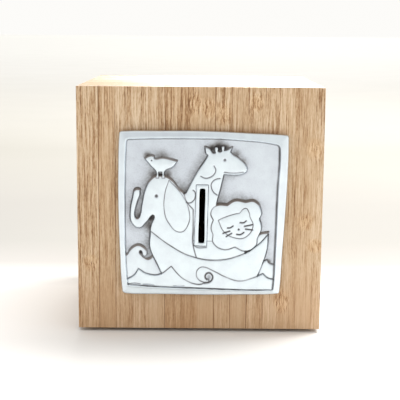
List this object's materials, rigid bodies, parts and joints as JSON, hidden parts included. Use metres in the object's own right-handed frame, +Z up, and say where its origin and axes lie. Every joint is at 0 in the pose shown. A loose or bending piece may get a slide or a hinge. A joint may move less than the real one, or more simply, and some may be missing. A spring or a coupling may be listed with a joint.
{
  "type": "wooden money box",
  "caption": "Cube-shaped laminated bamboo money box with a cast metal relief plaque around its coin slot and a pull-out stopper in the base.",
  "frame": {"origin": "on the surface that the box stands on, under the middle of its bounding box (the plaque's thickness included)", "axes": "+Z up, -Y out of the front panel and the plaque, +X to the right when looking at the front"},
  "size_m": [0.13, 0.135, 0.1318],
  "materials": {
    "bamboo": "satin lacquer over vertical-grain strips",
    "cast_metal": "cast, polished on the high places, dark patina in the low ones",
    "foam": "closed-cell double-sided tape",
    "soft_rubber": "moulded, matt",
    "felt": "pressed felt"
  },
  "bodies": {
    "box": {"front_panel": "bamboo", "back_panel": "bamboo", "left_panel": "bamboo", "right_panel": "bamboo", "top_panel": "bamboo", "base_panel": "bamboo", "plaque": "cast_metal", "foam_pad": "foam", "foot_front_left": "felt", "foot_front_right": "felt", "foot_back_left": "felt", "foot_back_right": "felt"},
    "stopper": {"stopper": "soft_rubber"}
  },
  "joints": [
    {"name": "stopper_pull", "type": "slide", "parent": "box", "child": "stopper", "axis": [0, 0, -1], "range_m": [0, 0.02]}
  ]
}
